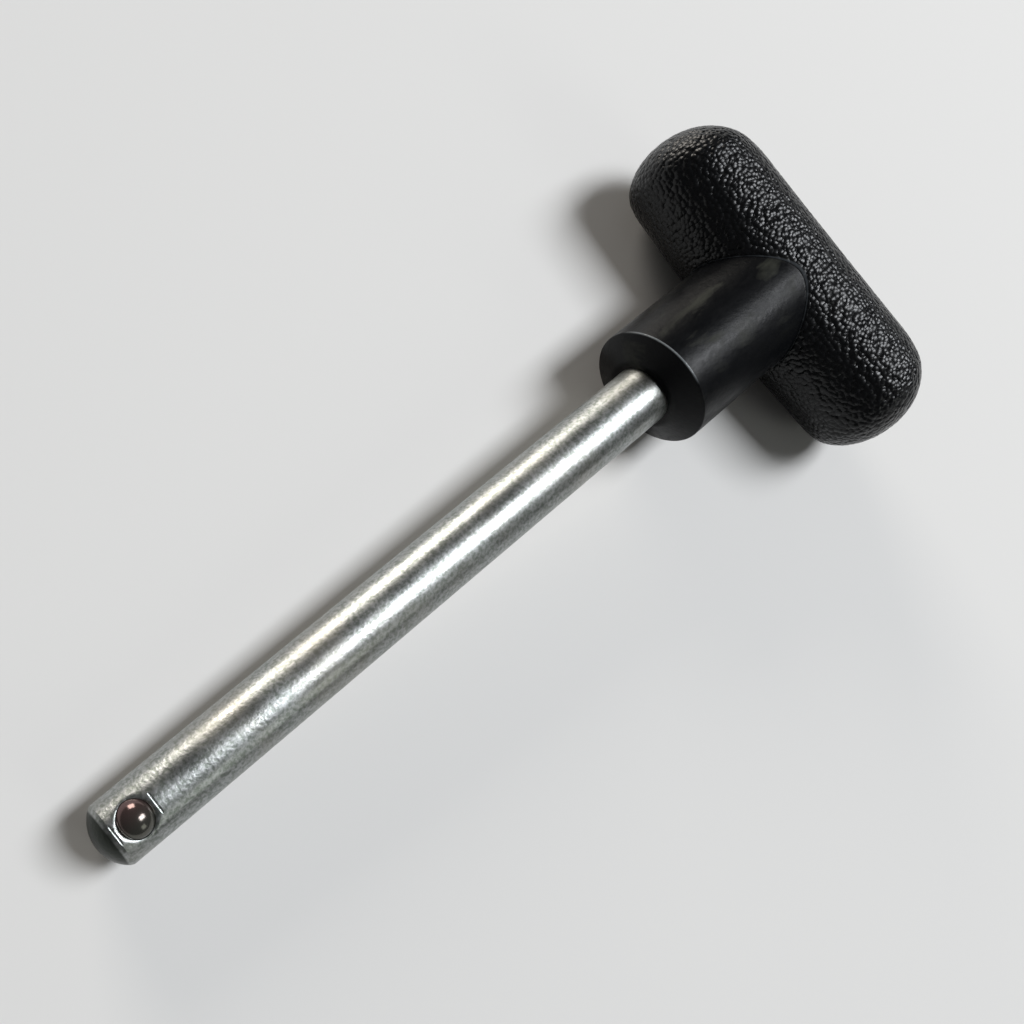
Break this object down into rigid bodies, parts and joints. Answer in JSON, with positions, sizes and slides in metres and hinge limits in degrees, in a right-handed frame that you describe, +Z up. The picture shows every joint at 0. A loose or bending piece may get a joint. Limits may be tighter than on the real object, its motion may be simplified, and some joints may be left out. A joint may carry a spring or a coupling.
{
  "type": "weight stack pin",
  "caption": "Straight plated steel pin with a sprung detent ball near its domed tip and a moulded black T-handle with a grained grip.",
  "frame": {"origin": "centre of the bounding box in plan, at the surface the pin lies on", "axes": "+X from the tip towards the handle, +Y along the grip, +Z up, through the detent ball"},
  "size_m": [0.1516, 0.0602, 0.0223],
  "materials": {
    "handle": "black moulded vinyl, leather grain on the grip, smooth semi-gloss hub",
    "shaft": "bright zinc plate with a fine mottled spangle",
    "detent_ball": "polished dark bearing steel",
    "detent_spring": "drawn spring wire"
  },
  "bodies": {
    "pin": {"handle": "handle", "shaft": "shaft", "detent_spring": "detent_spring"},
    "ball": {"detent_ball": "detent_ball"}
  },
  "joints": [
    {"name": "ball_slide", "type": "slide", "parent": "pin", "child": "ball", "axis": [0.0444, 0, -0.999], "range_m": [0, 0.00105], "stiffness_N_per_m": 4000, "springref_m": -0.0015, "deforming": ["detent_spring"]}
  ]
}
